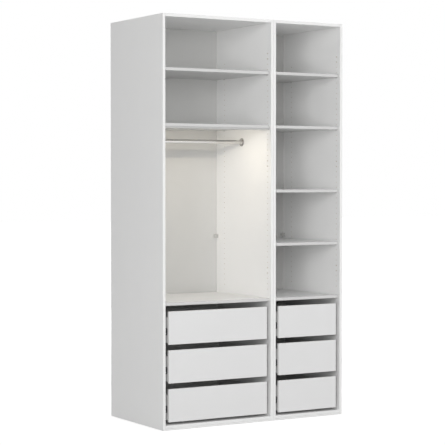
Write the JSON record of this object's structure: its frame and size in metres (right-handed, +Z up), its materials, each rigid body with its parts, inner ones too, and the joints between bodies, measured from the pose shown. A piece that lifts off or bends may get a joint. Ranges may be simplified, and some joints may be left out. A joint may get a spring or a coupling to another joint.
{
  "type": "freestanding wardrobe",
  "caption": "Tall open-front wardrobe in white board: a wide frame beside a narrow frame, with shelves, a lit hanging bay with a clothes rail, and handleless drawers on side runners.",
  "frame": {"origin": "on the floor, in the middle of the footprint", "axes": "+Z up, +Y towards the back, so the open front faces -Y and the wide frame is at -X"},
  "size_m": [1.2504, 0.665, 2.394],
  "materials": {
    "board_white": "white foil on board, satin",
    "back_white": "white painted hardboard, matt",
    "drawer_front_white": "white foil on board, satin",
    "drawer_box_white": "white foil on board, matt",
    "runner_steel": "zinc-plated steel",
    "rail_chrome": "polished",
    "clip_plastic": "moulded, matt",
    "light_diffuser": "frosted, warm white"
  },
  "bodies": {
    "carcass": {"wide_left_side": "board_white", "wide_right_side": "board_white", "wide_top": "board_white", "wide_bottom": "board_white", "wide_plinth": "board_white", "wide_back": "back_white", "wide_back_clip_left": "clip_plastic", "wide_back_clip_right": "clip_plastic", "wide_upper_shelf": "board_white", "wide_hat_shelf": "board_white", "wide_drawer_shelf": "board_white", "light_strip": "light_diffuser", "clothes_rail": "rail_chrome", "rail_socket_left": "rail_chrome", "rail_socket_right": "rail_chrome", "wide_lower_runner_left": "runner_steel", "wide_lower_runner_right": "runner_steel", "wide_middle_runner_left": "runner_steel", "wide_middle_runner_right": "runner_steel", "wide_upper_runner_left": "runner_steel", "wide_upper_runner_right": "runner_steel", "narrow_left_side": "board_white", "narrow_right_side": "board_white", "narrow_top": "board_white", "narrow_bottom": "board_white", "narrow_plinth": "board_white", "narrow_back": "back_white", "narrow_back_clip_left": "clip_plastic", "narrow_back_clip_right": "clip_plastic", "narrow_upper_shelf": "board_white", "narrow_hat_shelf": "board_white", "narrow_third_shelf": "board_white", "narrow_fourth_shelf": "board_white", "narrow_drawer_shelf": "board_white", "narrow_lower_runner_left": "runner_steel", "narrow_lower_runner_right": "runner_steel", "narrow_middle_runner_left": "runner_steel", "narrow_middle_runner_right": "runner_steel", "narrow_upper_runner_left": "runner_steel", "narrow_upper_runner_right": "runner_steel"},
    "wide_lower_drawer": {"wide_lower_drawer_front": "drawer_front_white", "wide_lower_drawer_box": "drawer_box_white", "wide_lower_drawer_bottom": "drawer_box_white"},
    "wide_middle_drawer": {"wide_middle_drawer_front": "drawer_front_white", "wide_middle_drawer_box": "drawer_box_white", "wide_middle_drawer_bottom": "drawer_box_white"},
    "wide_upper_drawer": {"wide_upper_drawer_front": "drawer_front_white", "wide_upper_drawer_box": "drawer_box_white", "wide_upper_drawer_bottom": "drawer_box_white"},
    "narrow_lower_drawer": {"narrow_lower_drawer_front": "drawer_front_white", "narrow_lower_drawer_box": "drawer_box_white", "narrow_lower_drawer_bottom": "drawer_box_white"},
    "narrow_middle_drawer": {"narrow_middle_drawer_front": "drawer_front_white", "narrow_middle_drawer_box": "drawer_box_white", "narrow_middle_drawer_bottom": "drawer_box_white"},
    "narrow_upper_drawer": {"narrow_upper_drawer_front": "drawer_front_white", "narrow_upper_drawer_box": "drawer_box_white", "narrow_upper_drawer_bottom": "drawer_box_white"}
  },
  "joints": [
    {"name": "wide_lower_drawer_slide", "type": "slide", "parent": "carcass", "child": "wide_lower_drawer", "axis": [0, -1, 0], "range_m": [0, 0.41]},
    {"name": "wide_middle_drawer_slide", "type": "slide", "parent": "carcass", "child": "wide_middle_drawer", "axis": [0, -1, 0], "range_m": [0, 0.41]},
    {"name": "wide_upper_drawer_slide", "type": "slide", "parent": "carcass", "child": "wide_upper_drawer", "axis": [0, -1, 0], "range_m": [0, 0.41]},
    {"name": "narrow_lower_drawer_slide", "type": "slide", "parent": "carcass", "child": "narrow_lower_drawer", "axis": [0, -1, 0], "range_m": [0, 0.41]},
    {"name": "narrow_middle_drawer_slide", "type": "slide", "parent": "carcass", "child": "narrow_middle_drawer", "axis": [0, -1, 0], "range_m": [0, 0.41]},
    {"name": "narrow_upper_drawer_slide", "type": "slide", "parent": "carcass", "child": "narrow_upper_drawer", "axis": [0, -1, 0], "range_m": [0, 0.41]}
  ]
}
